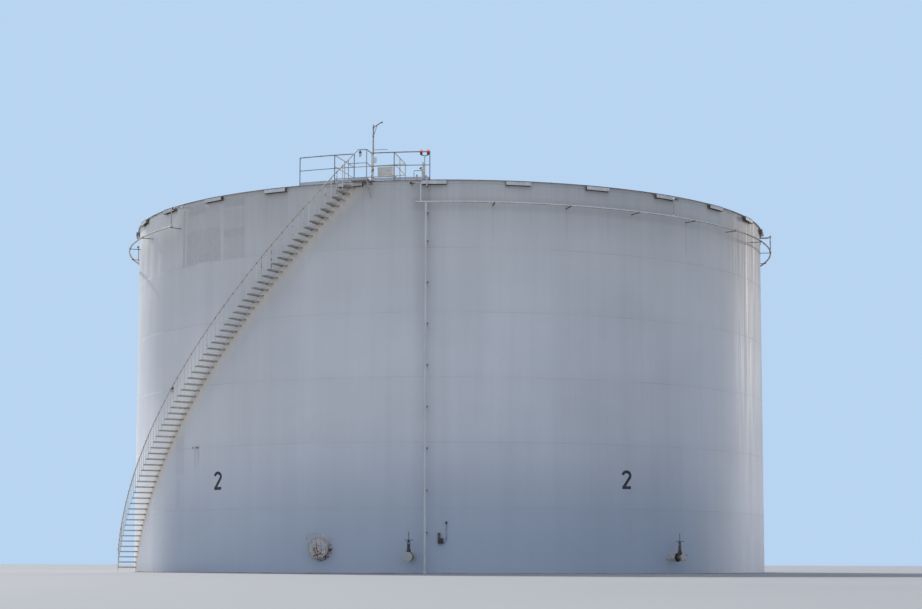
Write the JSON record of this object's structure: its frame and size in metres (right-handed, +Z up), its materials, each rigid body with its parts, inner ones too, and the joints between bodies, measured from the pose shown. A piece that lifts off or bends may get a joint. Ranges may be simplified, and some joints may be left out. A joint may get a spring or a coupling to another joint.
{
  "type": "vertical storage tank",
  "caption": "Welded steel storage tank with a cone roof, rim vent hoods, a spiral stair up its shell, a roof platform with rails, and a foam ring main.",
  "frame": {"origin": "on the tank's axis, at the underside of the bottom plate", "axes": "+Z up along the tank's axis; -Y towards the side that the foam riser is on; +X to the right seen from there"},
  "size_m": [28.3882, 28.5337, 17.0608],
  "materials": {
    "shell_paint": "weathered white paint with weld seams, dirt streaks and patches",
    "roof_paint": "weathered white paint on lapped plates",
    "stair_paint": "worn off-white paint with rusty edges",
    "rail_paint": "worn off-white paint with rust spots",
    "pipe_paint": "white paint, lightly weathered",
    "grey_steel": "dull galvanised steel",
    "dark_steel": "dark weathered castings",
    "red_glass": "ribbed red lamp glass",
    "clear_glass": "clear jar glass with a cast cap"
  },
  "bodies": {
    "root": {"bottom_plate": "shell_paint", "shell_segment_1": "shell_paint", "shell_segment_2": "shell_paint", "shell_segment_3": "shell_paint", "shell_segment_4": "shell_paint", "shell_segment_5": "shell_paint", "shell_segment_6": "shell_paint", "shell_segment_7": "shell_paint", "shell_segment_8": "shell_paint", "rim_vents_1": "shell_paint", "rim_vents_2": "shell_paint", "rim_vents_3": "shell_paint", "rim_vents_4": "shell_paint", "rim_vents_5": "shell_paint", "rim_vents_6": "shell_paint", "rim_vents_7": "shell_paint", "rim_vents_8": "shell_paint", "rim_vents_9": "shell_paint", "roof_sector_1": "roof_paint", "roof_sector_2": "roof_paint", "roof_sector_3": "roof_paint", "roof_sector_4": "roof_paint", "roof_sector_5": "roof_paint", "roof_sector_6": "roof_paint", "centre_vent": "roof_paint", "stair_flight_1": "stair_paint", "stair_flight_2": "stair_paint", "stair_flight_3": "stair_paint", "stair_flight_4": "stair_paint", "stair_flight_5": "stair_paint", "stair_flight_6": "stair_paint", "stair_flight_7": "stair_paint", "stair_handrail_1": "rail_paint", "stair_handrail_2": "rail_paint", "stair_handrail_3": "rail_paint", "stair_handrail_4": "rail_paint", "stair_landing": "stair_paint", "landing_rail": "rail_paint", "rim_guardrail_left": "rail_paint", "rim_guardrail_right": "rail_paint", "roof_platform": "grey_steel", "platform_rail": "rail_paint", "instrument_box": "grey_steel", "davit_mast": "rail_paint", "obstruction_light": "red_glass", "stair_lamp": "clear_glass", "landing_lamp": "clear_glass", "foam_ring_1": "pipe_paint", "foam_ring_2": "pipe_paint", "foam_ring_3": "pipe_paint", "foam_ring_4": "pipe_paint", "foam_ring_5": "pipe_paint", "foam_ring_6": "pipe_paint", "foam_riser": "pipe_paint", "shell_manway": "pipe_paint", "outlet_valve_1": "dark_steel", "outlet_valve_2": "dark_steel"}
  },
  "joints": []
}
